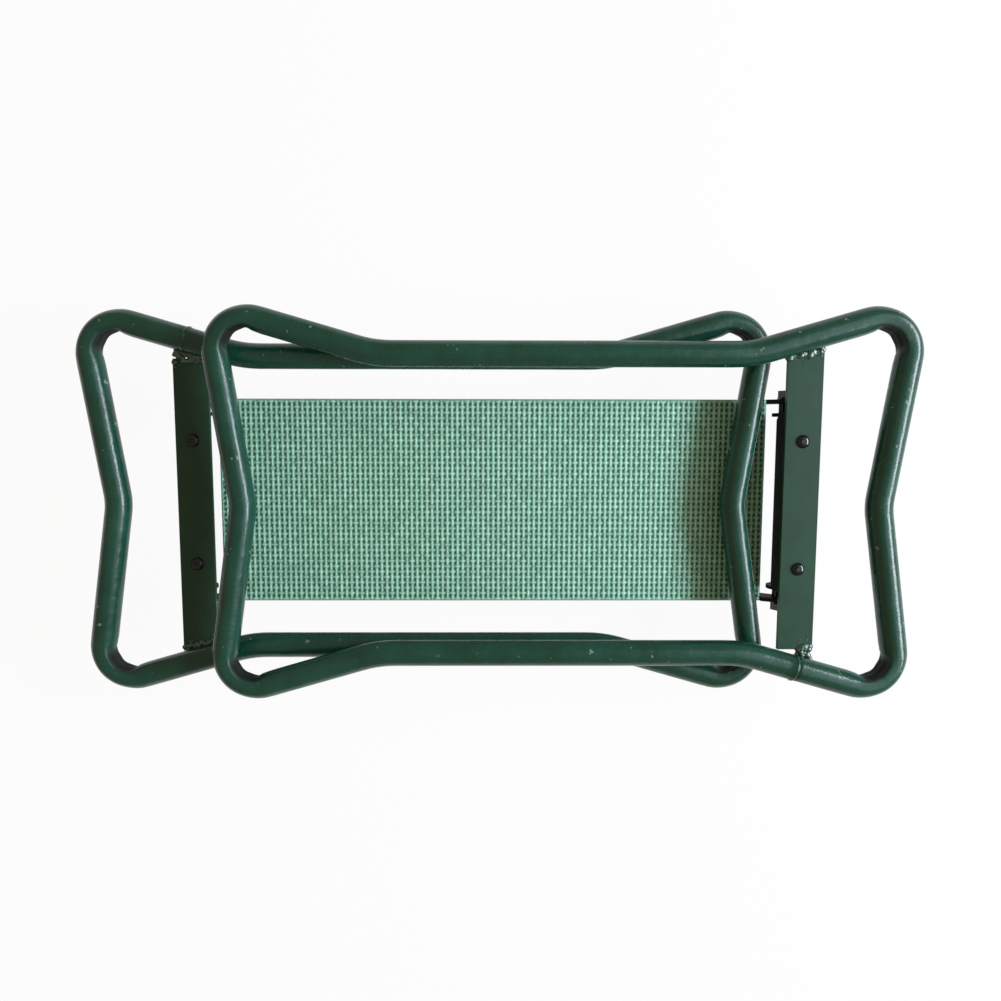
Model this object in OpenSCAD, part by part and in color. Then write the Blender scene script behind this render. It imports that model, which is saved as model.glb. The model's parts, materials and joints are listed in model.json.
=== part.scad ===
// Folding garden kneeler and stool, folded flat: a padded steel seat with a hinged tube loop at each end.
// X runs along the seat, Y across it and Z up. The origin is under the middle of the seat.
// The right loop lies over the left one, so it opens first.

/* [Tube loops] */
// Width of a loop over its corners
loop_width = 275; // [262:1:290]
// Outer diameter of the tube
tube_d = 18; // [16:0.5:20]
// Distance between the side rails at the waist, centre to centre
waist_width = 209; // [198:1:212]
// Length of a loop's flared ends, from the bend in its rails to the corners' outer faces
flare_l = 117; // [105:1:130]
// Bend radius where a rail starts to flare, at the tube's centre
flare_r = 90; // [60:1:110]
// Bend radius of the four corners, at the tube's centre
corner_r = 22; // [20:1:30]
// How far each end bar is bowed in at its middle
bow_depth = 16; // [12:1:24]
// Bend radius at the middle of an end bar, at the tube's centre
bow_r = 45; // [30:1:60]
// Gap between the two loops when one is folded over the other
loop_gap = 2.5; // [2:0.1:5]
// Gap between a folded loop's far end and the other loop's bracket
nest_gap = 10.5; // [8:0.5:18]

/* [Cross plates] */
// Width of the flat bar welded across each loop
plate_w = 25; // [22:0.5:27]
// Thickness of the flat bar
plate_t = 3; // [2.5:0.1:4]
// Distance from the loop's near end to the middle of the flat bar
plate_back = 78; // [74:0.5:84]
// Depth of the bar's top face under the tube's centre
plate_sink = 3.5; // [2.5:0.1:5]
// Gap that the weld bridges between the bar's end and the tube
weld_gap = 0.4; // [0.2:0.05:0.8]
// Radius of a weld bead
weld_r = 2.4; // [1.8:0.1:2.8]
// Diameter of the weld blob that bridges the gap at a bar's square end
blob_d = 6; // [4:0.5:8]
// How far the middle of the flat bar lies inboard of the hinge axis
plate_inset = 1; // [0:0.5:2]
// Distance between the two screw holes of a flat bar
hole_apart = 90; // [70:1:100]

/* [Seat] */
// Length of the foam pads
pad_length = 404; // [396:1:406]
// Width of the seat pan over its side walls
seat_w = 145; // [140:1:152]
// Thickness of the upper foam pad
kneel_pad_t = 18; // [14:0.5:22]
// Thickness of the lower foam pad
sit_pad_t = 12; // [8:0.5:20]
// Radius of the pads' outer edges
pad_edge_r = 2; // [1:0.5:2]
// Thickness of the upper pad's lip over the pan's rim
lip_t = 4.8; // [4.2:0.1:8]
// How far the pads reach out over the pan's side walls
pad_lap = 1.5; // [1:0.1:3]
// How far the pads reach out over the end channels
pad_overhang = 0.4; // [0:0.1:2]
// Clearance between the upper pad and the pan
pad_clear = 0.4; // [0.2:0.05:0.6]
// Sheet thickness of the seat pan
pan_t = 1.2; // [1:0.1:1.6]

/* [Hinges] */
// Distance from an end channel's outer face to the hinge axis
hinge_reach = 15.4; // [15:0.1:17]
// Depth of the hinge axis under the upper pad's face
hinge_sink = 0.5; // [0:0.5:3]
// Opening angle at which a loop meets its stop
open_angle = 98; // [92:1:102]
// Thickness of the end channels
channel_t = 3; // [2:0.1:4]
// How far an end channel's ears lap along the pan's sides
ear_lap = 8; // [5:0.5:15]
// Radius of the ear round a hinge axis
ear_r = 7.6; // [6.5:0.1:8]
// Thickness of the hinge brackets
bracket_t = 2.5; // [2:0.1:3]
// Width of a bracket's base on the flat bar
bracket_w = 20; // [18:0.5:21]
// Distance from the hinge axis to the inner face of a bracket
bracket_in = 8.5; // [8:0.1:9.5]
// Distance from the hinge axis up to the left loop's flat bar
left_drop = 9; // [8.5:0.1:11]
// Radius of a bracket's lug round the hinge axis
lug_r = 10.5; // [9:0.1:10.8]
// Length of the flat heel that meets the stop
heel_l = 8; // [5:0.5:9]
// Chamfer at the corners of a bracket's wall
bracket_chamfer = 5; // [3:0.5:6]

/* [Fasteners] */
// Diameter of a pivot bolt's shank
pivot_d = 8; // [6:0.5:8]
// Radial running clearance on a pivot bolt
pivot_clear = 0.06; // [0.02:0.01:0.1]
// Gap left beside a part that turns on a pivot bolt
side_gap = 0.1; // [0.05:0.01:0.2]
// Diameter of a pivot bolt's round head
pivot_head_d = 11.5; // [10:0.1:12]
// Height of a pivot bolt's round head
pivot_head_h = 2.6; // [2:0.1:4]
// Length of the spacer bushes between a bracket and the ears
bush_l = 6.9; // [5:0.1:9]
// Outer diameter of the spacer bushes
bush_d = 12; // [11:0.5:14]
// Diameter of the pivot washers
washer_d = 14.4; // [13:0.1:15]
// Thickness of the pivot washers
washer_t = 1.4; // [1:0.1:2]
// Width across the flats of a pivot nut
pivot_nut_af = 12.6; // [12:0.1:13]
// Height of a pivot nut
pivot_nut_h = 5; // [4:0.1:6.5]
// Diameter of a plate screw
screw_d = 5; // [4:0.5:6]
// Diameter of a plate screw's domed head
screw_head_d = 9.4; // [8.5:0.1:10.5]
// Height of a plate screw's domed head
screw_head_h = 2.7; // [2:0.1:3]
// Width across the flats of a plate screw's hexagon socket
socket_af = 3; // [2.5:0.1:3.5]
// Depth of a plate screw's socket
socket_depth = 1.8; // [1:0.1:2.2]
// Width across the flats of a plate screw's nut
screw_nut_af = 8; // [7.5:0.1:9]
// Height of a plate screw's nut
screw_nut_h = 4; // [3:0.1:4.5]
// Clearance of a screw or rivet in its hole
hole_clear = 0.2; // [0.1:0.05:0.4]
// Diameter of a rivet
rivet_d = 4.8; // [4:0.1:5]
// Diameter of a rivet's domed head
rivet_head_d = 8.6; // [8:0.1:9]
// Height of a rivet's domed head
rivet_head_h = 1.5; // [1:0.1:2]
// Distance between the two rivets of an end channel
rivet_apart = 84; // [60:1:100]

/* [Hidden] */
$fn = 64;

// Colours of the paints, foam and fasteners
paint_green = "#2d4a3f";
black_paint = "#20251f";
foam_green = "#6fa88c";
dark_steel = "#2b2d2b";

tube_r = tube_d / 2;
// How far a straight run reaches into its bends, and how much smaller its radius is
run_lap = 0.5;
run_step = 0.03;
// How far a hole or cut starts and ends outside its piece
past = 1;
// Heights, from the face that the seat rests on
pan_z = sit_pad_t;
tray_z = pan_z + pan_t;
pad_top = tray_z + kneel_pad_t;
lip_z = pad_top - lip_t;
rim_z = lip_z - pad_clear;
pan_h = rim_z - pan_z;
hinge_z = pad_top - hinge_sink;
// Each loop's centre plane stands over its flat bar
plate_to_tube = plate_t + plate_sink;
right_drop = left_drop + tube_d + loop_gap;

// Seat from its end inwards: foam lip, end channel, pan wall
half_pad = pad_length / 2;
channel_face = half_pad - pad_overhang;
wall_end = channel_face - channel_t;
pan_end = wall_end - pan_t;
// Seat from its side wall to both sides: inner face, ear, foam lip
pan_face = seat_w / 2;
half_tray = pan_face - pan_t;
ear_out = pan_face + channel_t;
pad_w = seat_w + 2 * pad_lap;
// Each hinge stands off its end channel, and carries its loop by the flat bar.
// The loop reaches from behind that bar to just short of the other loop's bracket.
hinge_x = channel_face + hinge_reach;
near_end = hinge_x - plate_inset + plate_back;
far_end = hinge_x - bracket_in - nest_gap;
loop_length = near_end + far_end;
loop_offset = (near_end - far_end) / 2;
plate_at = loop_length / 2 - plate_back;
flare_start = loop_length / 2 - flare_l;
// The heel meets the channel's web just under the foam lip
stop_at = hinge_reach - side_gap;
heel_from = hinge_z - rim_z;
// Across the seat: bracket lug, bush, ear, washer, nut
lug_face = pan_face - side_gap - bush_l;
heads_from = lug_face - bracket_t - side_gap;
nut_from = ear_out + washer_t;

// Outline of a loop: the corner bends touch the loop's full length and width
corner_c = [loop_length / 2 - tube_r - corner_r, loop_width / 2 - tube_r - corner_r];
flare_p = [flare_start, waist_width / 2];
bow_p = [loop_length / 2 - tube_r - bow_depth, 0];

// Direction of the line from p that touches a circle, on its left (side 1) or right (side -1)
function touch(p, c, r, side) =
  let (d = c - p) atan2(d.y, d.x) + side * asin(r / norm(d));
// Where a line from p at angle a meets a line from q at angle b
function meet(p, a, q, b) =
  let (d = q - p, t = (d.x * sin(b) - d.y * cos(b)) / sin(b - a)) p + t * [cos(a), sin(a)];

flare_a = touch(flare_p, corner_c, corner_r, 1);
bar_a = touch(bow_p, corner_c, corner_r, -1);
corner_p = meet(flare_p, flare_a, bow_p, bar_a);

// A quarter of the loop, as [x, y, bend radius], and the whole loop made from it
quarter = [[flare_p.x, flare_p.y, flare_r], [corner_p.x, corner_p.y, corner_r]];
function flip(p, sx, sy) = [p.x * sx, p.y * sy, p.z];
loop_points = [
  for (p = quarter) flip(p, 1, 1),
  [bow_p.x, 0, bow_r],
  for (i = [1, 0]) flip(quarter[i], 1, -1),
  for (p = quarter) flip(p, -1, -1),
  [-bow_p.x, 0, bow_r],
  for (i = [1, 0]) flip(quarter[i], -1, 1)
];

function flat(p) = [p.x, p.y];
function unit(v) = v / norm(v);
function at(i) = loop_points[(i + len(loop_points)) % len(loop_points)];
// Directions from point i to the one before and after it, and half the angle between them
function back(i) = unit(flat(at(i - 1)) - flat(at(i)));
function ahead(i) = unit(flat(at(i + 1)) - flat(at(i)));
function half_angle(i) = acos(back(i) * ahead(i)) / 2;
function setback(i) = at(i).z / tan(half_angle(i));
function bend_start(i) = flat(at(i)) + back(i) * setback(i);
function bend_end(i) = flat(at(i)) + ahead(i) * setback(i);
function bend_centre(i) =
  flat(at(i)) + unit(back(i) + ahead(i)) * at(i).z / sin(half_angle(i));

// A straight run of round bar from p to q
module run(p, q, d) {
  v = q - p;
  translate([p.x, p.y, 0])
    rotate([0, 90, atan2(v.y, v.x)])
      cylinder(h = norm(v), d = d);
}

// The bend at point i, turned from its start to its end
module bend(i, d) {
  c = bend_centre(i);
  from = bend_start(i) - c;
  to = bend_end(i) - c;
  a = atan2(from.y, from.x);
  turn = atan2(from.x * to.y - from.y * to.x, from * to);
  translate([c.x, c.y, 0])
    rotate([0, 0, min(a, a + turn)])
      rotate_extrude(angle = abs(turn))
        translate([at(i).z, 0])
          circle(d = d);
}

// The whole loop, flat on its own centre plane. Each straight run reaches a little way into its bends,
// and is thinner by a hair there, so that the pieces join cleanly.
module loop_tube() {
  for (i = [0 : len(loop_points) - 1]) {
    into = ahead(i) * run_lap;
    bend(i, tube_d);
    run(bend_end(i) - into, bend_start(i + 1) + into, tube_d - 2 * run_step);
  }
}

// The flared stretch of rail that a flat bar is welded to, on side sy
module flared_rail(sy, d) {
  run([flare_p.x, sy * flare_p.y], [corner_p.x, sy * corner_p.y], d);
}

// How far the flat bar reaches towards its rail, where it is u from the loop's middle
rail_reach = sqrt(pow(tube_r, 2) - pow(plate_sink, 2)) + weld_gap;
function bar_half(u) = flare_p.y + (u - flare_p.x) * tan(flare_a) - rail_reach / cos(flare_a);

// Parts of a hinge are drawn for the right end of the seat; the left end is turned half round
module end(side) {
  rotate([0, 0, side > 0 ? 0 : 180])
    children();
}

function drop(side) = side > 0 ? right_drop : left_drop;

// Moves to a loop's centre plane, with its middle at the origin
module to_loop(side) {
  translate([loop_offset, 0, hinge_z + drop(side) + plate_to_tube])
    children();
}

// Moves to the hinge axis
module to_axis() {
  translate([hinge_x, 0, hinge_z])
    children();
}

// A sheet standing across Y, from a profile in x and z, with its inner face at y
module standing(y, t) {
  translate([0, y + t, 0])
    rotate([90, 0, 0])
      linear_extrude(t)
        children();
}

// A round bar along Y, from y0 to y1
module bar_y(y0, y1, d) {
  translate([0, y1, 0])
    rotate([90, 0, 0])
      cylinder(h = y1 - y0, d = d);
}

// A hexagon of the given width across its flats
module hexagon(af) {
  circle(d = af / cos(30), $fn = 6);
}

// A dome of base diameter d and height h, standing on z = 0
module dome(d, h) {
  r = (pow(d / 2, 2) + pow(h, 2)) / (2 * h);
  intersection() {
    translate([0, 0, h - r])
      sphere(r);
    cylinder(h = h, d = d);
  }
}

// Two copies, that far apart along Y
module pair_y(apart) {
  for (s = [-1, 1])
    translate([0, s * apart / 2, 0])
      children();
}

module mirror_pair_y() {
  children();
  mirror([0, 1, 0])
    children();
}

// The ear that carries a pivot bolt: a lap along the pan's side, and an arm that rises past the foam
module ear_profile() {
  difference() {
    union() {
      translate([hinge_x, hinge_z])
        circle(ear_r);
      polygon([
        [wall_end - ear_lap, pan_z],
        [channel_face, pan_z],
        [hinge_x + ear_r * cos(45), hinge_z - ear_r * sin(45)],
        [hinge_x, hinge_z + ear_r],
        [half_pad + pad_clear, pad_top],
        [half_pad + pad_clear, rim_z],
        [wall_end - ear_lap, rim_z]
      ]);
    }
    translate([hinge_x, hinge_z])
      circle(d = pivot_d + hole_clear);
  }
}

// A box of height h over the middle of the seat, with its lower face at z
module centred_box(half_l, half_w, z, h) {
  translate([-half_l, -half_w, z])
    cube([2 * half_l, 2 * half_w, h]);
}

module seat_pan() {
  color(paint_green)
    difference() {
      centred_box(wall_end, pan_face, pan_z, pan_h);
      centred_box(pan_end, half_tray, tray_z, pan_h);
      for (s = [-1, 1])
        end(s)
          rivet_holes();
    }
}

module rivet_holes() {
  translate([pan_end - past, 0, pan_z + pan_h / 2])
    pair_y(rivet_apart)
      rotate([0, 90, 0])
        cylinder(h = pan_t + channel_t + 2 * past, d = rivet_d + hole_clear);
}

// A foam board with its outer edges rounded on one face, from z = 0 up
module foam_board(l, w, t) {
  r = pad_edge_r;
  translate([-l / 2, -w / 2, 0])
    cube([l, w, t - r]);
  translate([-l / 2 + r, -w / 2 + r, t - r])
    cube([l - 2 * r, w - 2 * r, r]);
  for (s = [-1, 1]) {
    edge_bar([s * (l / 2 - r), -w / 2 + r, t - r], [90, 0, 180], w - 2 * r);
    edge_bar([-l / 2 + r, s * (w / 2 - r), t - r], [0, 90, 0], l - 2 * r);
    for (q = [-1, 1])
      translate([s * (l / 2 - r), q * (w / 2 - r), t - r])
        sphere(r);
  }
}

// A round bar along a foam board's edge
module edge_bar(from, turn, length) {
  translate(from)
    rotate(turn)
      cylinder(h = length, r = pad_edge_r);
}

// The upper pad fills the pan, and its lip laps out over the rim
module kneeling_pad() {
  color(foam_green) {
    centred_box(pan_end - pad_clear, half_tray - pad_clear, tray_z, kneel_pad_t - pad_edge_r);
    translate([0, 0, lip_z])
      foam_board(pad_length, pad_w, lip_t);
  }
}

module sitting_pad() {
  color(foam_green)
    translate([0, 0, pan_z])
      mirror([0, 0, 1])
        foam_board(pad_length, pad_w, sit_pad_t);
}

// The end channel: a web on the pan's end wall, with an ear at each side of the seat
module end_channel(side) {
  color(black_paint)
    end(side)
      difference() {
        union() {
          translate([wall_end, -ear_out, pan_z])
            cube([channel_t, 2 * ear_out, pan_h]);
          mirror_pair_y()
            standing(pan_face, channel_t)
              ear_profile();
        }
        rivet_holes();
      }
}

module channel_rivets(side) {
  grip = pan_t + channel_t;
  color(dark_steel)
    end(side)
      translate([pan_end, 0, pan_z + pan_h / 2])
        pair_y(rivet_apart)
          rotate([0, 90, 0]) {
            cylinder(h = grip, d = rivet_d);
            translate([0, 0, grip])
              dome(rivet_head_d, rivet_head_h);
          }
}

module frame_tube(side) {
  color(paint_green)
    end(side)
      to_loop(side)
        loop_tube();
}

// The two screw holes through a sheet of thickness t whose lower face is at z
module screw_holes(z, t) {
  translate([0, 0, z - past])
    pair_y(hole_apart)
      cylinder(h = t + 2 * past, d = screw_d + hole_clear);
}

// The flat bar: its far end follows the rail and is welded all along, and its near end is cut square
module cross_plate(side) {
  u0 = plate_at - plate_w / 2;
  u1 = plate_at + plate_w / 2;
  color(paint_green)
    end(side)
      to_loop(side)
        difference() {
          translate([0, 0, -plate_to_tube])
            linear_extrude(plate_t)
              polygon([
                [u0, -bar_half(u0)],
                [u1, -bar_half(u0)],
                [u1, bar_half(u1)],
                [u0, bar_half(u0)]
              ]);
          translate([plate_at, 0, 0])
            screw_holes(-plate_to_tube, plate_t);
        }
}

// The bead along the joint of the flat bar's sloped end and its rail
module weld_bead() {
  u0 = plate_at - plate_w / 2 + weld_r;
  u1 = plate_at + plate_w / 2 - weld_r;
  difference() {
    translate([0, 0, -plate_sink])
      run([u0, bar_half(u0)], [u1, bar_half(u1)], 2 * weld_r);
    flared_rail(1, tube_d);
    linear_extrude(2 * plate_to_tube, center = true)
      polygon([[0, 0], [u0 - plate_w, bar_half(u0 - plate_w)], [u1 + plate_w, bar_half(u1 + plate_w)]]);
  }
}

// The blob from the outer corner of the flat bar's square end across to its rail
module weld_blob() {
  u = plate_at + (plate_w - blob_d) / 2;
  y = bar_half(plate_at - plate_w / 2);
  difference() {
    translate([u, 0, -plate_sink - plate_t / 2])
      bar_y(-y - tube_r - blob_d / 2, -y, blob_d);
    flared_rail(-1, tube_d);
  }
}

module frame_welds(side) {
  color(paint_green)
    end(side)
      to_loop(side) {
        weld_bead();
        weld_blob();
      }
}

// A lug's profile: a round about the axis, a leg up to the base and a heel that meets the stop
module lug_profile(height) {
  difference() {
    intersection() {
      union() {
        circle(lug_r);
        polygon([[-bracket_in, 0], [lug_r, 0], [bracket_w - bracket_in, height], [-bracket_in, height]]);
        rotate(open_angle - 90)
          polygon([[heel_from, -stop_at], [heel_from + heel_l, -stop_at], [lug_r, 0], [heel_from, 0]]);
      }
      translate([-2 * lug_r, -2 * lug_r])
        square([4 * lug_r, 2 * lug_r + height]);
    }
    circle(d = pivot_d + 2 * pivot_clear);
  }
}

// The bracket's inner wall, with its lower corners cut off
module bracket_wall(height) {
  low = bracket_t;
  cut = min(bracket_chamfer, height - low - bracket_t);
  translate([-bracket_in, 0, 0])
    rotate([90, 0, 90])
      linear_extrude(bracket_t)
        polygon([
          [-lug_face, height],
          [-lug_face, low + cut],
          [-lug_face + cut, low],
          [lug_face - cut, low],
          [lug_face, low + cut],
          [lug_face, height]
        ]);
}

module hinge_bracket(side) {
  height = drop(side);
  color(black_paint)
    end(side)
      to_axis()
        difference() {
          union() {
            translate([-bracket_in, -lug_face, height - bracket_t])
              cube([bracket_w, 2 * lug_face, bracket_t]);
            bracket_wall(height);
            mirror_pair_y()
              standing(lug_face - bracket_t, bracket_t)
                lug_profile(height);
          }
          translate([-plate_inset, 0, 0])
            screw_holes(height - bracket_t, bracket_t);
        }
}

// Moves to a flat bar's screws, at the bar's top face
module to_screws(side) {
  to_axis()
    translate([-plate_inset, 0, drop(side) + plate_t])
      pair_y(hole_apart)
        children();
}

module plate_screws(side) {
  shank = plate_t + bracket_t + screw_nut_h;
  color(dark_steel)
    end(side)
      to_screws(side)
        difference() {
          union() {
            translate([0, 0, -shank])
              cylinder(h = shank, d = screw_d);
            dome(screw_head_d, screw_head_h);
          }
          translate([0, 0, screw_head_h - socket_depth])
            linear_extrude(screw_head_h)
              hexagon(socket_af);
        }
}

module plate_nuts(side) {
  color(dark_steel)
    end(side)
      to_screws(side)
        translate([0, 0, -plate_t - bracket_t - screw_nut_h])
          linear_extrude(screw_nut_h)
            difference() {
              hexagon(screw_nut_af);
              circle(d = screw_d + hole_clear);
            }
}

module pivot_bolts(side) {
  color(dark_steel)
    end(side)
      to_axis()
        mirror_pair_y() {
          bar_y(heads_from - pivot_head_h, heads_from, pivot_head_d);
          bar_y(heads_from, nut_from + pivot_nut_h, pivot_d);
        }
}

module pivot_bushes(side) {
  color(dark_steel)
    end(side)
      to_axis()
        mirror_pair_y()
          difference() {
            bar_y(lug_face + side_gap, pan_face, bush_d);
            bar_y(lug_face, ear_out, pivot_d + 2 * pivot_clear);
          }
}

module pivot_washers(side) {
  color(dark_steel)
    end(side)
      to_axis()
        mirror_pair_y()
          difference() {
            bar_y(ear_out, nut_from, washer_d);
            bar_y(pan_face, nut_from + washer_t, pivot_d + hole_clear);
          }
}

module pivot_nuts(side) {
  color(dark_steel)
    end(side)
      to_axis()
        mirror_pair_y()
          standing(nut_from, pivot_nut_h)
            difference() {
              hexagon(pivot_nut_af);
              circle(d = pivot_d + hole_clear);
            }
}

seat_pan();
kneeling_pad();
sitting_pad();
end_channel(-1);  // left_end_channel
end_channel(1);  // right_end_channel
channel_rivets(-1);  // left_channel_rivets
channel_rivets(1);  // right_channel_rivets
frame_tube(-1);  // left_frame_tube
frame_tube(1);  // right_frame_tube
cross_plate(-1);  // left_cross_plate
cross_plate(1);  // right_cross_plate
frame_welds(-1);  // left_frame_welds
frame_welds(1);  // right_frame_welds
hinge_bracket(-1);  // left_hinge_bracket
hinge_bracket(1);  // right_hinge_bracket
plate_screws(-1);  // left_plate_screws
plate_screws(1);  // right_plate_screws
plate_nuts(-1);  // left_plate_nuts
plate_nuts(1);  // right_plate_nuts
pivot_bolts(-1);  // left_pivot_bolts
pivot_bolts(1);  // right_pivot_bolts
pivot_bushes(-1);  // left_pivot_bushes
pivot_bushes(1);  // right_pivot_bushes
pivot_washers(-1);  // left_pivot_washers
pivot_washers(1);  // right_pivot_washers
pivot_nuts(-1);  // left_pivot_nuts
pivot_nuts(1);  // right_pivot_nuts
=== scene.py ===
"""A folding garden kneeler, folded flat: its tubes, foam, welds and finishes, the studio and the camera."""

import json
import math
import random

import bmesh
import bpy
from mathutils import Matrix, Vector, noise


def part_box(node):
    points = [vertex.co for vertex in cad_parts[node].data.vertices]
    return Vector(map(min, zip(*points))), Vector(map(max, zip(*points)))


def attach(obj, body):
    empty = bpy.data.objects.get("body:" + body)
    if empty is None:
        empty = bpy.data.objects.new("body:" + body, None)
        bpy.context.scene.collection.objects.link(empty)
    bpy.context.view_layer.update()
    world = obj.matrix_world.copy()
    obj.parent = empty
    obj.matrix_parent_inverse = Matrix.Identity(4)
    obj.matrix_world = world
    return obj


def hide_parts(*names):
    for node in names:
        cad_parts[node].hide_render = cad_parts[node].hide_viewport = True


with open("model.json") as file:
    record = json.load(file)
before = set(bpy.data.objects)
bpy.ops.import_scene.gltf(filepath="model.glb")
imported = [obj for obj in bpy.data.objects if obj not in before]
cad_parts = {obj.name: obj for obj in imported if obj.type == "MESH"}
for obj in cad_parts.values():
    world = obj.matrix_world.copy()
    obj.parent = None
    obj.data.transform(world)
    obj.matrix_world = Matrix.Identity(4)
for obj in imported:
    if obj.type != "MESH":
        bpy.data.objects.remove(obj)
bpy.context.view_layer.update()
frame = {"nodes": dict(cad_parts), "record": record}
BODY_OF = {node: body for body, nodes in frame["record"]["behaviour"]["bodies"].items() for node in nodes}

MM = 0.001
SIDES = {"left": -1, "right": 1}

# Camera, as the photograph was taken: nearly straight above, leaning a little from the far rail's side
IMAGE_SIZE = 1001
FOCAL_PIXELS = 725.5
SENSOR_MM = 36
CAMERA_AT = (1.7 * MM, 51.4 * MM, 568.4 * MM)
CAMERA_TURN = (-5.4, -0.41, 0.1)

# Embossed weave of the foam's skin: how far apart its strands lie along x and y, and how far they rise
# out of the pits
STRAND_APART = (3.79 * MM, 4.09 * MM)
STRAND_RISE = 1.0 * MM
# The crosswise and the lengthwise strands, in parts of that rise: how high they run, how far they step over
# and under each other, and how uneven that is. The power rounds their tops.
CROSSWISE = (0.86, 0.1, 0.16)
LENGTHWISE = (0.62, 0.3, 0.12)
STRAND_POWER = 1.8
# How far the boards' long edges bulge past the cut, how thick the upper board's lip over the pan's rim is,
# how far that board's core lies inside its edge, and the rounding of the edges with its steps in degrees
FOAM_PROUD = 1.5 * MM
LIP_THICKNESS = 4.8 * MM
CORE_INSET = 5 * MM
FOAM_EDGE = 1.6 * MM
FOAM_EDGE_STEPS = (30, 60, 90)
# The foam's edges are plain, and as pale as a strand of this height
EDGE_SHADE = 0.55

# The bent tube and its centre line: the radii of its bends, where they lie, and how deep the end bars bow in
TUBE_R = 9 * MM
CORNER_R = 22 * MM
FLARE_R = 90 * MM
BOW_R = 45 * MM
HALF_WAIST = 104.5 * MM
FLARE_LENGTH = 117 * MM
BOW_DEPTH = 16 * MM
# Its mesh: points round the tube, and the distance between rings in straight parts, in wide bends and in
# bends tighter than TIGHT_R
AROUND = 48
RING_STEP = 6 * MM
WIDE_STEP = 5 * MM
TIGHT_STEP = 2.2 * MM
TIGHT_R = 30 * MM
# Where each loop's tube ends meet, how far along from the loop's middle, and the collar over the joint:
# distance from it and swell of the tube, in mm. Other rings keep SEAM_CLEAR away from it.
SEAM_AT = {"left": 168.5 * MM, "right": 166 * MM}
SEAM_RINGS = ((-1.8, 0), (-1.2, -0.45), (-0.6, -0.45), (-0.1, 0.6), (0.7, 0.7), (1.3, 0.5), (2, 0))
SEAM_CLEAR = 3 * MM
# What the bender pressed into each tight corner: how far along the tube it reaches, full and none at all,
# the dent inside the bend, the shoulders beside it and the flattened outside
PRESSED_ALONG = (9 * MM, 26 * MM)
DENT_DEPTH = 3 * MM
SHOULDER_RISE = 0.5 * MM
FLATTENING = 0.8 * MM
# Creases in the dent: depth, length of one radian of their wave, and where they fade along the tube
CREASE_DEPTH = 0.35 * MM
CREASE_LENGTH = 2.6 * MM
CREASED_ALONG = (4 * MM, 14 * MM)
# Where each of them starts and is full round the tube, as the cosine of the angle from the bend's inside, or
# from its outside for the flattening, and last where the enamel is dull and darkened with painted shade.
# SHOULDER_END is where the shoulders stop.
DENT_AROUND = (0.5, 0.95)
SHOULDER_AROUND = (0.2, 0.5)
SHOULDER_END = 0.62
CREASED_AROUND = (0.3, 0.7)
FLAT_AROUND = (0.4, 1)
DULL_AND_SHADED_AROUND = (0.3, 0.75)

# The flat bars lie this far under the tube's middle, with their middle this far back from the loop's end
BAR_SINK = 3.5 * MM
BAR_BACK = 78 * MM
BAR_WIDTH = 25 * MM
# Welds of each flat bar: the loop's own left or right rail, where the weld starts and ends along the bar's
# width, its lumps with their size, and its spatter
WELDS = {
    "left": ((1, 0, 0.97, 20, 2.1 * MM, 6), (-1, 0.04, 0.95, 60, 1.8 * MM, 5)),
    "right": ((1, 0.04, 0.97, 20, 2.6 * MM, 18), (-1, 0.6, 0.97, 22, 2.4 * MM, 8)),
}
# A weld fills the gap beside the rail and laps onto the bar
WELD_GAP = 0.8 * MM
WELD_LAP = 2.8 * MM
# How much its lumps vary: their spacing, their size, their stretch along x, y and z, and in mm their height
LUMP_JITTER = 0.4
LUMP_SIZE = (0.75, 1.2)
LUMP_STRETCH = ((0.9, 1.35), (0.85, 1.15), (0.7, 0.95))
LUMP_RISE = (-1.2, 0.2)
# Spatter on the bar: how far past the gap and how big, in mm
SPATTER_PAST = (2, 7)
SPATTER_SIZE = (0.3, 0.9)
SPATTER_RISE = -0.1 * MM
# The lumps are fused in voxels of this size and smoothed this often
FUSED_AT = 0.3 * MM
FLOW_ROUNDS = 3
# A screw head's outline from its middle to its shank: part of the head's radius, and mm over the bar's face
SCREW_HEAD = (
    (0, 1.9), (0.31, 1.9), (0.33, 2.3), (0.36, 2.42), (0.5, 2.3), (0.64, 2.06), (0.78, 1.68), (0.9, 1.15),
    (0.97, 0.6), (1, 0.15), (0.97, 0), (0.53, 0))
SPIN_STEPS = 32
# Points closer than SAME_POINT are one, and faces within FLAT_WITHIN of each other are one flat face. Edges
# sharper than EASED_FROM are eased, and those sharper than SHARP_FROM are shaded sharp.
SAME_POINT = 0.001 * MM
FLAT_WITHIN = math.radians(0.5)
EASED_FROM = math.radians(28)
SHARP_FROM = math.radians(50)

# Pieces made from CAD nodes by easing their edges: node and name without the side, width of the easing and
# finish
EASED_PIECES = (
    ("cross_plate", "flat_bar", 0.45 * MM, "bar"),
    ("hinge_bracket", "folded_bracket", 0.5 * MM, "lacquer"),
    ("end_channel", "folded_channel", 0.6 * MM, "lacquer"),
    ("plate_nuts", "screw_nuts", 0.4 * MM, "steel"),
    ("pivot_bolts", "hinge_bolts", 0.5 * MM, "steel"),
    ("pivot_bushes", "hinge_bushes", 0.3 * MM, "steel"),
    ("pivot_washers", "hinge_washers", 0.2 * MM, "steel"),
    ("pivot_nuts", "hinge_nuts", 0.5 * MM, "steel"),
    ("channel_rivets", "pan_rivets", 0.15 * MM, "steel"),
)

# Studio: the floor's half width and how white it looks by itself, the colour and strength of the fill, the
# heights between which the white walls fade out, as parts of a full look upwards, and where the lamps aim
FLOOR_REACH = 3
FLOOR_WHITE = 0.94
FILL_COLOUR = "#ffe5c4"
FILL_STRENGTH = 0.4
WALL_TOP = (0.06, 0.12)
LAMP_AIM = (0, 0, 0.03)
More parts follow.
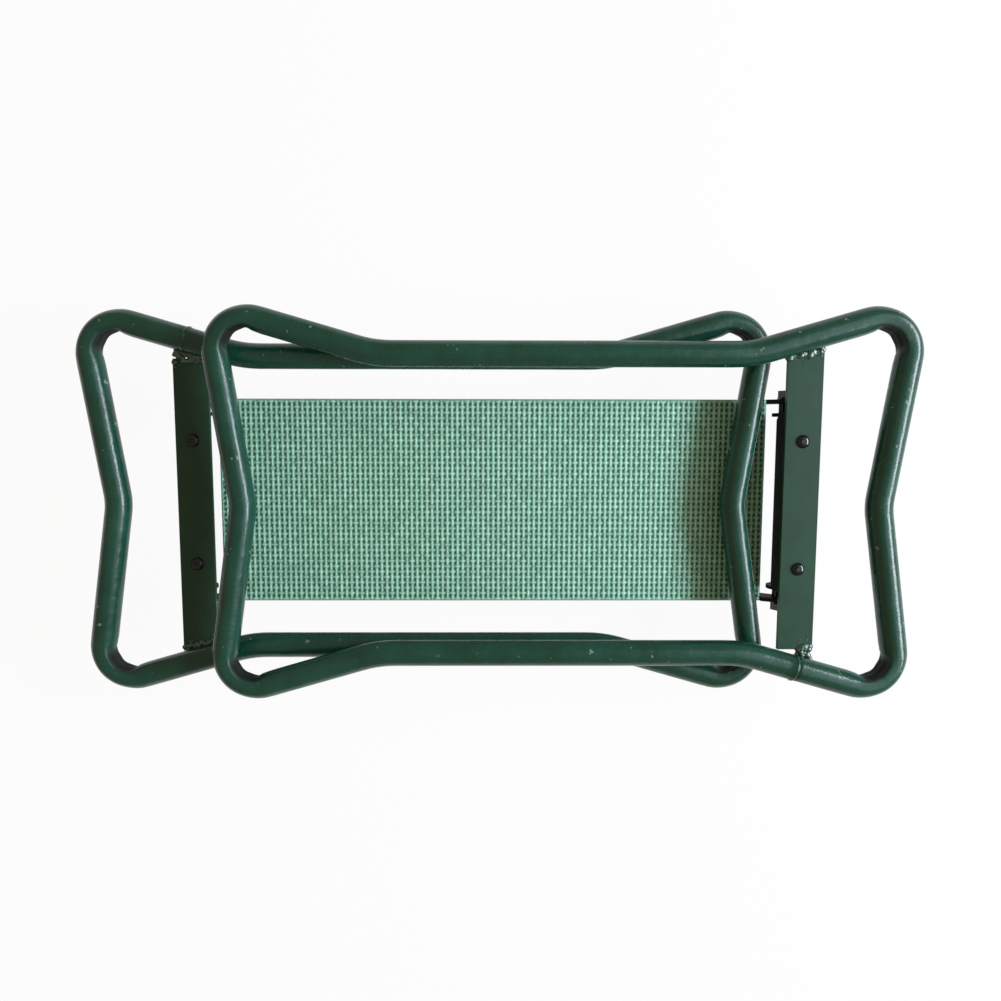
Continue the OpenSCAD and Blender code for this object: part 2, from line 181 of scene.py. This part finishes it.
# The lamps: name, place, size, power, colour, whether it lights surfaces and whether it shines in glossy ones
LAMPS = (
    ("window_lamp", (1.45, 0.1, 0.93), (1.3, 0.42), 34, "#eaf4ff", True, True),
    ("window_glow_lamp", (1.47, 0.1, 0.94), (1.8, 0.95), 12, "#e2f0ff", True, False),
    ("ceiling_glow_lamp", (1.15, 0.1, 1.25), (1.8, 1.3), 11, "#e2f0ff", False, True),
)
# A colour mix node's own fields, and its colour sockets among those that share their names
MIX_COLOUR = {"data_type": "RGBA"}
MIX_A, MIX_B, MIX_OUT = 6, 7, 2


def linear(hex_colour):
    """An sRGB hex colour as the linear RGBA that a shader socket takes."""
    channels = [int(hex_colour[i:i + 2], 16) / 255 for i in (1, 3, 5)]
    return (*[c / 12.92 if c <= 0.04045 else ((c + 0.055) / 1.055) ** 2.4 for c in channels], 1)


def add(tree, kind, fields=None, sockets=None):
    """Adds a node with its own fields, and its sockets as values or as links from other sockets."""
    made = tree.nodes.new("ShaderNode" + kind)
    for field, value in (fields or {}).items():
        setattr(made, field, value)
    for name, value in (sockets or {}).items():
        if isinstance(value, bpy.types.NodeSocket):
            tree.links.new(value, made.inputs[name])
        else:
            made.inputs[name].default_value = value
    return made


def finish(name, **shader):
    """A new material: its node tree, its principled shader and the coordinates that its patterns read."""
    material = bpy.data.materials.new(name)
    material.use_nodes = True
    tree = material.node_tree
    surface = tree.nodes["Principled BSDF"]
    for socket, value in shader.items():
        surface.inputs[socket.replace("_", " ")].default_value = value
    place = add(tree, "TexCoord").outputs["Object"]
    return material, tree, surface, place


def blotches(tree, place, size, low, high):
    """A soft blotchy pattern whose patches are about size across, from low to high."""
    cloud = add(tree, "TexNoise", {}, {"Vector": place, "Scale": 1 / size, "Detail": 3})
    spread = add(tree, "MapRange", {}, {
        "Value": cloud.outputs[0], "From Min": 0.3, "From Max": 0.7, "To Min": low, "To Max": high})
    return spread.outputs[0]


def tint(tree, surface, factor, first, second):
    """Colours the surface from the first hex colour to the second by factor."""
    mixed = add(tree, "Mix", MIX_COLOUR, {0: factor, MIX_A: linear(first), MIX_B: linear(second)})
    tree.links.new(mixed.outputs[MIX_OUT], surface.inputs["Base Color"])
    return mixed.outputs[MIX_OUT]


def relief(tree, surface, height, depth, under=None):
    """Bumps the surface by a height pattern of that depth, over another bump if there is one."""
    sockets = {"Height": height, "Distance": depth, "Strength": 1}
    if under:
        sockets["Normal"] = under
    bump = add(tree, "Bump", {}, sockets).outputs[0]
    tree.links.new(bump, surface.inputs["Normal"])
    return bump


def stove_enamel():
    """Stove enamel on bent tube: deep glossy green with orange peel and chips, and painted shade in its dull
    pressed bends.
    """
    material, tree, surface, place = finish("stove_enamel_on_steel_tube", Roughness=0.26, IOR=1.45)
    pressed = add(tree, "Attribute", {"attribute_name": "pressed"}).outputs["Fac"]
    green = tint(tree, surface, blotches(tree, place, 26 * MM, 0, 1), "#0f3b2d", "#17483b")
    cloud = add(tree, "TexNoise", {}, {"Vector": place, "Scale": 1 / (6 * MM), "Detail": 3})
    chips = add(tree, "MapRange", {}, {"Value": cloud.outputs[0], "From Min": 0.7, "From Max": 0.73})
    chipped = add(tree, "Mix", MIX_COLOUR, {0: chips.outputs[0], MIX_A: green, MIX_B: linear("#6f8a7d")})
    # Painted shade: where the bends are pressed in, the enamel is darkened to near black, for the shade that
    # falls in them
    shaded = add(tree, "Mix", MIX_COLOUR, {
        0: pressed, MIX_A: chipped.outputs[MIX_OUT], MIX_B: linear("#06120d")})
    tree.links.new(shaded.outputs[MIX_OUT], surface.inputs["Base Color"])
    dull = add(tree, "Math", {"operation": "MULTIPLY_ADD"}, {
        0: pressed, 1: 0.65, 2: blotches(tree, place, 9 * MM, 0.2, 0.31)})
    tree.links.new(dull.outputs[0], surface.inputs["Roughness"])
    peel = relief(tree, surface, blotches(tree, place, 2.2 * MM, 0, 1), 0.008 * MM)
    relief(tree, surface, blotches(tree, place, 13 * MM, 0, 1), 0.22 * MM, peel)
    return material


def bar_enamel():
    """The same enamel on rolled flat bar: satin, paler, and a little mottled by the mill scale under it."""
    material, tree, surface, place = finish("satin_enamel_on_flat_bar", Roughness=0.36, IOR=1.3)
    tint(tree, surface, blotches(tree, place, 12 * MM, 0, 1), "#213f30", "#264535")
    relief(tree, surface, blotches(tree, place, 3 * MM, 0, 1), 0.02 * MM)
    return material


def weld_enamel():
    """Enamel over a hand weld, in random blotches from dark to pale green: painted highlights and painted
    shade on its lumps.
    """
    material, tree, surface, place = finish(
        "weld_enamel_with_painted_glints_and_shade", Roughness=0.24, IOR=1.5, Coat_Weight=0.8, Coat_Roughness=0.1)
    # Painted highlights and painted shade: pale and dark blotches about 3 mm across, at random, not following
    # the lumps
    tint(tree, surface, blotches(tree, place, 3 * MM, 0, 1), "#102c22", "#3a5c4e")
    relief(tree, surface, blotches(tree, place, 1.2 * MM, 0, 1), 0.1 * MM)
    return material


def black_lacquer():
    """Black lacquer on folded sheet steel: near black with a green cast, half gloss."""
    material, tree, surface, place = finish("black_lacquer_on_sheet_steel", Roughness=0.7, IOR=1.33)
    tint(tree, surface, blotches(tree, place, 10 * MM, 0, 1), "#060a0a", "#0e1614")
    relief(tree, surface, blotches(tree, place, 2.5 * MM, 0, 1), 0.015 * MM)
    return material


def pan_enamel():
    """Enamel on the pressed seat pan: dark green, satin, with faint drawing marks along the sheet."""
    material, tree, surface, place = finish(
        "satin_enamel_on_pressed_sheet", Roughness=0.42, IOR=1.5, Coat_Weight=0.2, Coat_Roughness=0.25)
    tint(tree, surface, blotches(tree, place, 18 * MM, 0, 1), "#224439", "#2b5041")
    along = add(tree, "Mapping", {}, {"Vector": place, "Scale": (0.1, 1, 1)}).outputs[0]
    relief(tree, surface, blotches(tree, along, 3 * MM, 0, 1), 0.02 * MM)
    return material


def black_steel():
    """Screws, nuts, washers and rivets with sealed black passivation: deep black, glossy, rubbed in spots."""
    material, tree, surface, place = finish("black_passivated_steel", Roughness=0.12, IOR=1.5)
    tint(tree, surface, blotches(tree, place, 2.5 * MM, 0, 1), "#000a0c", "#040e10")
    tree.links.new(blotches(tree, place, 1.5 * MM, 0.08, 0.16), surface.inputs["Roughness"])
    return material


def eva_foam():
    """Embossed EVA foam: a matt green skin, painted pale on the raised strands as highlight and dark in the
    pits as shade.
    """
    material, tree, surface, place = finish("embossed_eva_foam", Roughness=0.6, IOR=1.45)
    height = add(tree, "Attribute", {"attribute_name": "strand_height"}).outputs["Fac"]
    # Painted highlight and painted shade: the colour follows the strands' height, pale on top and dark down
    # in the pits
    lift = add(tree, "MapRange", {"interpolation_type": "SMOOTHSTEP"}, {
        "Value": height, "From Min": 0.1, "From Max": 1})
    mixed = add(tree, "Mix", MIX_COLOUR, {
        0: lift.outputs[0], MIX_A: linear("#154f3b"), MIX_B: linear("#aee7d1")})
    fade = add(tree, "Mix", {**MIX_COLOUR, "blend_type": "MULTIPLY"}, {
        0: blotches(tree, place, 7 * MM, 0, 0.5), MIX_A: mixed.outputs[MIX_OUT], MIX_B: linear("#cfe2da")})
    tree.links.new(fade.outputs[MIX_OUT], surface.inputs["Base Color"])
    relief(tree, surface, blotches(tree, place, 0.9 * MM, 0, 1), 0.05 * MM)
    return material


def strand_height(x, y):
    """Height of the embossed weave at x and y, from 0 in a pit to 1 on top of a strand.

    Crosswise strands run high, and lengthwise ones lie low but step over every other crosswise one.
    """
    u, v = x / STRAND_APART[0], y / STRAND_APART[1]
    across = math.cos(math.pi * (u - round(u)))
    along = math.cos(math.pi * (v - round(v)))
    over = 1 if (round(u) + round(v)) % 2 else -1
    uneven = noise.cell(Vector((round(u) + 0.5, round(v) + 0.5, 0.5))) - 0.5
    run, step, rough = CROSSWISE
    crosswise = across ** STRAND_POWER * (run - along * (step * over - rough * uneven))
    run, step, rough = LENGTHWISE
    lengthwise = along ** STRAND_POWER * (run + across * (step * over + rough * uneven))
    return min(1, max(0, crosswise, lengthwise))


def foam_board(name, node, out, steps_per_strand, material):
    """A die-cut foam board in the place of a CAD pad, with the weave embossed on the face that looks out.

    out is 1 for the board that looks up, which has a lip and a narrower core, and -1 for the other.
    """
    low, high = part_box(node)
    half = (high - low) / 2
    half.y += FOAM_PROUD
    middle = (high + low) / 2
    flat = [half.x - FOAM_EDGE, half.y - FOAM_EDGE]
    steps = [round(2 * flat[i] / STRAND_APART[i] * steps_per_strand) for i in (0, 1)]
    shape = bmesh.new()
    bmesh.ops.create_grid(shape, x_segments=steps[0], y_segments=steps[1], size=1)
    bmesh.ops.scale(shape, vec=(flat[0], flat[1], 1), verts=shape.verts)
    height = shape.verts.layers.float.new("strand_height")
    for vert in shape.verts:
        vert[height] = strand_height(vert.co.x, vert.co.y)
        vert.co.z = (vert[height] - 1) * STRAND_RISE
    # Edge profile, as reach past the flat face and depth below it: a rounded edge and the side
    profile = [(FOAM_EDGE * math.sin(a), STRAND_RISE / 2 + FOAM_EDGE * (1 - math.cos(a)))
               for a in map(math.radians, FOAM_EDGE_STEPS)]
    if out > 0:
        profile += [(FOAM_EDGE, LIP_THICKNESS), (FOAM_EDGE - CORE_INSET, LIP_THICKNESS)]
        profile += [(FOAM_EDGE - CORE_INSET, 2 * half.z)]
    else:
        profile += [(FOAM_EDGE, 2 * half.z)]
    reach = list(flat)
    rim = [edge for edge in shape.edges if edge.is_boundary]
    for grow, drop in profile:
        made = bmesh.ops.extrude_edge_only(shape, edges=rim)["geom"]
        verts = [part for part in made if isinstance(part, bmesh.types.BMVert)]
        rim = [part for part in made if isinstance(part, bmesh.types.BMEdge) and part.is_boundary]
        wanted = [flat[i] + grow for i in (0, 1)]
        bmesh.ops.scale(shape, vec=(wanted[0] / reach[0], wanted[1] / reach[1], 1), verts=verts)
        reach = wanted
        for vert in verts:
            vert.co.z = -drop
            vert[height] = EDGE_SHADE
    bmesh.ops.edgeloop_fill(shape, edges=rim)
    if out < 0:
        bmesh.ops.rotate(shape, matrix=Matrix.Rotation(math.pi, 3, "X"), verts=shape.verts)
    bmesh.ops.translate(shape, vec=(middle.x, middle.y, high.z if out > 0 else low.z), verts=shape.verts)
    bmesh.ops.recalc_face_normals(shape, faces=shape.faces)
    board = add_piece(name, shape, material)
    ride_for(board, node)


def add_piece(name, shape, material):
    """Links a new smooth shaded piece made from a bmesh."""
    mesh = bpy.data.meshes.new(name)
    shape.to_mesh(mesh)
    shape.free()
    mesh.materials.append(material)
    mesh.polygons.foreach_set("use_smooth", [True] * len(mesh.polygons))
    piece = bpy.data.objects.new(name, mesh)
    bpy.context.scene.collection.objects.link(piece)
    return piece


def ride_for(piece, *nodes):
    """Puts a piece in the place of CAD nodes: on their body, with the nodes hidden."""
    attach(piece, BODY_OF[nodes[0]])
    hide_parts(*nodes)


def copy_of(node):
    """A merged copy of a CAD node's mesh, with its flat faces whole again."""
    shape = bmesh.new()
    shape.from_mesh(frame["nodes"][node].data)
    bmesh.ops.remove_doubles(shape, verts=shape.verts, dist=SAME_POINT)
    bmesh.ops.dissolve_limit(
        shape, angle_limit=FLAT_WITHIN, verts=shape.verts, edges=shape.edges, use_dissolve_boundaries=False)
    return shape


def eased(node, name, width, material):
    """The piece of a CAD node with its sharp edges eased, as a cut, folded or pressed edge is."""
    shape = copy_of(node)
    sharp = [edge for edge in shape.edges if edge.is_manifold and edge.calc_face_angle() > EASED_FROM]
    bmesh.ops.bevel(
        shape, geom=sharp, offset=width, offset_type="OFFSET", segments=2, profile=0.5, affect="EDGES",
        material=-1, clamp_overlap=True)
    piece = add_piece(name, shape, material)
    piece.data.set_sharp_from_angle(angle=SHARP_FROM)
    flat = piece.modifiers.new("keep_flats_flat", "WEIGHTED_NORMAL")
    flat.keep_sharp = True
    ride_for(piece, node)


def domed_screws(side, material):
    """The flat bar's two screws: low domed heads with rounded rims, their sockets clogged with paint."""
    node = f"{side}_plate_screws"
    low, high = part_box(node)
    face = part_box(f"{side}_cross_plate")[1].z
    reach = (high.x - low.x) / 2
    shape = bmesh.new()
    for y in (low.y + reach, high.y - reach):
        outline = [shape.verts.new((r * reach, 0, z * MM)) for r, z in SCREW_HEAD]
        outline += [shape.verts.new((r * reach, 0, low.z - face)) for r in (SCREW_HEAD[-1][0], 0)]
        edges = [shape.edges.new(pair) for pair in zip(outline, outline[1:])]
        bmesh.ops.spin(
            shape, geom=outline + edges, cent=(0, 0, 0), axis=(0, 0, 1), angle=2 * math.pi, steps=SPIN_STEPS,
            use_merge=True)
        bmesh.ops.remove_doubles(shape, verts=shape.verts, dist=SAME_POINT)
        # The first screw is far from the middle by now, so it doesn't move again
        new = [vert for vert in shape.verts if vert.co.xy.length < 2 * reach]
        bmesh.ops.translate(shape, vec=((low.x + high.x) / 2, y, face), verts=new)
    bmesh.ops.recalc_face_normals(shape, faces=shape.faces)
    piece = add_piece(f"{side}_domed_screws", shape, material)
    piece.data.set_sharp_from_angle(angle=SHARP_FROM)
    ride_for(piece, node)


def loop_corners(half_length, half_width):
    """The points where the straight lines of the loop's centre line meet, with their bend radii, all round.

    A quarter of the loop has three: a flare in the rail, a tight corner, and half of the bow in the end bar.
    """
    reach = Vector((half_length - TUBE_R - CORNER_R, half_width - TUBE_R - CORNER_R))
    flare = Vector((half_length - FLARE_LENGTH, HALF_WAIST))
    bow = Vector((half_length - TUBE_R - BOW_DEPTH, 0))

    def tangent(start, side):
        """Direction of the line from start that touches the corner's arc on its left or right."""
        way = reach - start
        return math.atan2(way.y, way.x) + side * math.asin(CORNER_R / way.length)

    rail, bar = tangent(flare, 1), tangent(bow, -1)
    way = bow - flare
    run = (way.x * math.sin(bar) - way.y * math.cos(bar)) / math.sin(bar - rail)
    corner = flare + run * Vector((math.cos(rail), math.sin(rail)))
    quarter = [(flare, FLARE_R), (corner, CORNER_R), (bow, BOW_R)]
    points = []
    for sx in (1, -1):
        points += [(Vector((sx * at.x, sx * at.y)), r) for at, r in quarter]
        points += [(Vector((sx * at.x, -sx * at.y)), r) for at, r in quarter[1::-1]]
    return points


def tube_stations(points, seam_at):
    """Stations round the loop and the middles of its tight corners.

    A station is its place, heading, swell and distance travelled, and a middle its distance and turning way.
    """
    count = len(points)
    stations, middles, travelled = [], [], 0
    for i, (point, radius) in enumerate(points):
        before, after = points[i - 1][0], points[(i + 1) % count][0]
        back, ahead = (before - point).normalized(), (after - point).normalized()
        half = back.angle(ahead) / 2
        heading = math.atan2(-back.y, -back.x)
        turn = (math.pi - 2 * half) * (1 if back.x * ahead.y - back.y * ahead.x < 0 else -1)
        start = point + back * radius / math.tan(half)
        centre = point + (back + ahead).normalized() * radius / math.sin(half)
        if stations:
            way = start - stations[-1][0]
            places = [k / round(way.length / RING_STEP) for k in range(1, round(way.length / RING_STEP))]
            places = [(share * way.length, 0) for share in places]
            last = stations[-1][0]
            if start.x < seam_at < last.x:
                seam = (seam_at - last.x) / way.x * way.length
                places = [at for at in places if abs(at[0] - seam) > SEAM_CLEAR]
                places = sorted(places + [(seam + at * MM, swell * MM) for at, swell in SEAM_RINGS])
            for distance, swell in places:
                stations.append((last + way.normalized() * distance, heading, swell, travelled + distance))
            travelled += way.length
        steps = max(4, round(abs(turn) * radius / (TIGHT_STEP if radius < TIGHT_R else WIDE_STEP)))
        for k in range(steps + 1):
            bent = turn * k / steps
            arm = Matrix.Rotation(bent, 2) @ (start - centre)
            stations.append((centre + arm, heading + bent, 0, travelled + abs(bent) * radius))
        if radius == CORNER_R:
            middles.append((travelled + abs(turn) * radius / 2, math.copysign(1, turn)))
        travelled += abs(turn) * radius
    return stations, middles


def bent_tube(side, material):
    """A loop of tube, bent cold: pressed in with creases inside its tight corners, and flattened outside."""
    node = f"{side}_frame_tube"
    low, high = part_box(node)
    half, middle = (high - low) / 2, (high + low) / 2
    stations, middles = tube_stations(loop_corners(half.x, half.y), SEAM_AT[side])
    shape = bmesh.new()
    # How far each point was pressed: the enamel is dull there and darkened with painted shade
    pressed = shape.verts.layers.float.new("pressed")
    ring = bmesh.ops.create_circle(shape, cap_ends=False, segments=AROUND, radius=TUBE_R)["verts"]
    bmesh.ops.rotate(shape, matrix=Matrix.Rotation(math.pi / 2, 3, "Y"), verts=ring)
    edges = list(shape.edges)
    rings = []
    here = Matrix.Identity(4)
    for place, heading, swell, distance in stations:
        if rings:
            made = bmesh.ops.extrude_edge_only(shape, edges=edges)["geom"]
            ring = [part for part in made if isinstance(part, bmesh.types.BMVert)]
            ends = set(ring)
            edges = [
                part for part in made if isinstance(part, bmesh.types.BMEdge) and set(part.verts) <= ends]
        there = Matrix.Translation((place.x, place.y, 0)) @ Matrix.Rotation(heading, 4, "Z")
        bmesh.ops.transform(shape, matrix=there @ here.inverted(), verts=ring)
        here = there
        rings.append((ring, place, heading, swell, distance))
    bmesh.ops.bridge_loops(shape, edges=[edge for edge in shape.edges if edge.is_boundary])
    for ring, place, heading, swell, distance in rings:
        past, turn = min(((distance - at, way) for at, way in middles), key=lambda pair: abs(pair[0]))
        press(ring, place, heading + turn * math.pi / 2, past, pressed)
        if swell:
            bmesh.ops.scale(
                shape, vec=[1 + swell / TUBE_R] * 3, space=Matrix.Translation((-place.x, -place.y, 0)),
                verts=ring)
    if side == "left":
        bmesh.ops.rotate(shape, matrix=Matrix.Rotation(math.pi, 3, "Z"), verts=shape.verts)
    bmesh.ops.translate(shape, vec=middle, verts=shape.verts)
    bmesh.ops.recalc_face_normals(shape, faces=shape.faces)
    ride_for(add_piece(f"{side}_bent_tube", shape, material), node)


def smooth_step(low, high, value):
    """0 up to low, 1 from high on, and smooth between them."""
    share = min(1, max(0, (value - low) / (high - low)))
    return share * share * (3 - 2 * share)


def press(ring, place, inward, past, pressed):
    """Presses one ring of tube where the bender held it, the distance past along from the bend's middle."""
    strength = 1 - smooth_step(*PRESSED_ALONG, abs(past))
    if not strength:
        return
    crease = CREASE_DEPTH * math.cos(past / CREASE_LENGTH) * (1 - smooth_step(*CREASED_ALONG, abs(past)))
    inner = Vector((math.cos(inward), math.sin(inward), 0))
    for vert in ring:
        wall = vert.co - Vector((place.x, place.y, 0))
        facing = wall.normalized().dot(inner)
        depth = DENT_DEPTH * smooth_step(*DENT_AROUND, facing)
        depth -= SHOULDER_RISE * smooth_step(*SHOULDER_AROUND, facing) * (facing < SHOULDER_END)
        depth += crease * smooth_step(*CREASED_AROUND, facing)
        depth += FLATTENING * smooth_step(*FLAT_AROUND, -facing)
        vert.co -= wall.normalized() * strength * depth
        # This share of the bend's inside gets dull enamel and painted shade
        vert[pressed] = strength * smooth_step(*DULL_AND_SHADED_AROUND, facing)


def weld(side, end, first, last, lumps, size, spatter):
    """A hand weld between a flat bar's end and the rail: a run of uneven lumps, and spatter.

    end is the loop's own left or right rail, and first and last say where it runs along the bar's width.
    The bar's end is cut along the rail at one end, and square at the other, where the gap grows along it.
    """
    low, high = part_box(f"{side}_frame_tube")
    half, middle = (high - low) / 2, (high + low) / 2
    points = loop_corners(half.x, half.y)
    flare, corner = points[0][0], points[1][0]
    slope = (corner - flare).normalized()
    draw = random.Random(f"{side} {end}")
    shape = bmesh.new()
    across = math.sqrt(TUBE_R ** 2 - BAR_SINK ** 2)

    def lump(along, off, rise, radius):
        """One lump: its place along the bar's width, off the rail's side and over the bar's face."""
        at = half.x - BAR_BACK + (along - 0.5) * BAR_WIDTH
        reach = flare.y + (at - flare.x) * slope.y / slope.x - (across + off) / slope.x
        spot = Vector((at, end * reach, 0)) * SIDES[side]
        spot += Vector((middle.x, middle.y, middle.z - BAR_SINK + rise))
        made = bmesh.ops.create_icosphere(shape, subdivisions=2, radius=radius)["verts"]
        stretch = [draw.uniform(*span) for span in LUMP_STRETCH]
        bmesh.ops.scale(shape, vec=stretch, verts=made)
        bmesh.ops.translate(shape, vec=spot, verts=made)

    for k in range(lumps):
        share = first + (last - first) * (k + draw.uniform(-LUMP_JITTER, LUMP_JITTER)) / (lumps - 1)
        gap = WELD_GAP if end > 0 else max(0, share) * BAR_WIDTH * slope.y / slope.x
        off = draw.uniform(0, 1) * (gap + WELD_LAP)
        lump(share, off, draw.uniform(*LUMP_RISE) * MM, size * draw.uniform(*LUMP_SIZE))
    for _ in range(spatter):
        share = draw.uniform(first, last)
        gap = 0 if end > 0 else share * BAR_WIDTH * slope.y / slope.x
        lump(share, gap + draw.uniform(*SPATTER_PAST) * MM, SPATTER_RISE, draw.uniform(*SPATTER_SIZE) * MM)
    return shape


def weld_beads(side, runs, material):
    """Both welds of a loop's flat bar as one piece, fused where their lumps overlap."""
    name = f"{side}_weld_beads"
    whole = bmesh.new()
    for run in runs:
        shape = weld(side, *run)
        mesh = bpy.data.meshes.new(name)
        shape.to_mesh(mesh)
        shape.free()
        whole.from_mesh(mesh)
        bpy.data.meshes.remove(mesh)
    piece = add_piece(name, whole, material)
    fuse = piece.modifiers.new("fuse", "REMESH")
    fuse.mode = "VOXEL"
    fuse.voxel_size = FUSED_AT
    fuse.use_smooth_shade = True
    flow = piece.modifiers.new("flow", "SMOOTH")
    flow.factor = 0.5
    flow.iterations = FLOW_ROUNDS
    ride_for(piece, f"{side}_frame_welds")


def make_camera():
    """The photograph's camera: its place, its lean and its focal length in pixels of the photograph."""
    data = bpy.data.cameras.new("camera")
    data.sensor_width = SENSOR_MM
    data.lens = FOCAL_PIXELS / IMAGE_SIZE * SENSOR_MM
    data.clip_start = 10 * MM
    camera = bpy.data.objects.new("camera", data)
    camera.location = CAMERA_AT
    camera.rotation_euler = [math.radians(angle) for angle in CAMERA_TURN]
    bpy.context.scene.collection.objects.link(camera)
    bpy.context.scene.camera = camera


def lamp(name, place, size, power, hex_colour, lights, shines):
    """A soft rectangular lamp over the kneeler, which lights surfaces, shines in glossy ones, or both."""
    data = bpy.data.lights.new(name, "AREA")
    data.shape = "RECTANGLE"
    data.size, data.size_y = size
    data.energy = power
    data.color = linear(hex_colour)[:3]
    light = bpy.data.objects.new(name, data)
    light.location = place
    light.rotation_euler = (Vector(LAMP_AIM) - Vector(place)).to_track_quat("-Z", "Y").to_euler()
    light.visible_diffuse = lights
    light.visible_glossy = shines
    bpy.context.scene.collection.objects.link(light)


def math_node(tree, operation, first, second):
    """The result of a maths node."""
    return add(tree, "Math", {"operation": operation}, {0: first, 1: second}).outputs[0]


def make_studio():
    """A pale floor under the kneeler, a window-like lamp on its right with its glow, and a pale surround."""
    shape = bmesh.new()
    bmesh.ops.create_grid(shape, x_segments=1, y_segments=1, size=FLOOR_REACH)
    material, tree, surface, _ = finish("pale_floor_paint", Roughness=0.9)
    surface.inputs["Base Color"].default_value = linear("#dededc")
    path = add(tree, "LightPath").outputs
    shown = math_node(tree, "MAXIMUM", path["Is Glossy Ray"], path["Is Transmission Ray"])
    shown = math_node(tree, "MAXIMUM", shown, path["Is Camera Ray"])
    part = math_node(tree, "MULTIPLY", shown, FLOOR_WHITE)
    white = add(tree, "Emission", {}, {"Color": (1, 1, 1, 1), "Strength": 1})
    mixed = add(tree, "MixShader", {}, {0: part, 1: surface.outputs[0], 2: white.outputs[0]})
    tree.links.new(mixed.outputs[0], tree.nodes["Material Output"].inputs["Surface"])
    add_piece("floor", shape, material)

    world = bpy.data.worlds.new("surround")
    world.use_nodes = True
    bpy.context.scene.world = world
    tree = world.node_tree
    ambient = tree.nodes["Background"]
    ambient.inputs["Color"].default_value = linear(FILL_COLOUR)
    ambient.inputs["Strength"].default_value = FILL_STRENGTH
    # White walls up to a little over the horizon, which glossy paint and steel show too, and a dim ceiling
    way = add(tree, "TexCoord").outputs["Generated"]
    height = add(tree, "SeparateXYZ", {}, {0: way}).outputs["Z"]
    wall = add(tree, "MapRange", {}, {
        "Value": height, "From Min": WALL_TOP[0], "From Max": WALL_TOP[1], "To Min": 1, "To Max": 0})
    path = add(tree, "LightPath").outputs
    shown = math_node(tree, "MAXIMUM", path["Is Glossy Ray"], path["Is Transmission Ray"])
    shown = math_node(tree, "MULTIPLY", shown, wall.outputs[0])
    shown = math_node(tree, "MAXIMUM", shown, path["Is Camera Ray"])
    backdrop = add(tree, "Background", {}, {"Color": (1, 1, 1, 1), "Strength": 1})
    mixed = add(tree, "MixShader", {}, {0: shown, 1: ambient.outputs[0], 2: backdrop.outputs[0]})
    tree.links.new(mixed.outputs[0], tree.nodes["World Output"].inputs["Surface"])

    for line in LAMPS:
        lamp(*line)
    bpy.context.scene.view_settings.view_transform = "Standard"


make_camera()
foam = eva_foam()
foam_board("kneeling_pad_foam", "kneeling_pad", out=1, steps_per_strand=6, material=foam)
foam_board("sitting_pad_foam", "sitting_pad", out=-1, steps_per_strand=4, material=foam)
tube_finish = stove_enamel()
finishes = {"bar": bar_enamel(), "lacquer": black_lacquer(), "steel": black_steel()}
weld_finish = weld_enamel()
eased("seat_pan", "pressed_pan", 0.4 * MM, pan_enamel())
for side in SIDES:
    bent_tube(side, tube_finish)
    weld_beads(side, WELDS[side], weld_finish)
    domed_screws(side, finishes["steel"])
    for node, name, width, kind in EASED_PIECES:
        eased(f"{side}_{node}", f"{side}_{name}", width, finishes[kind])
make_studio()
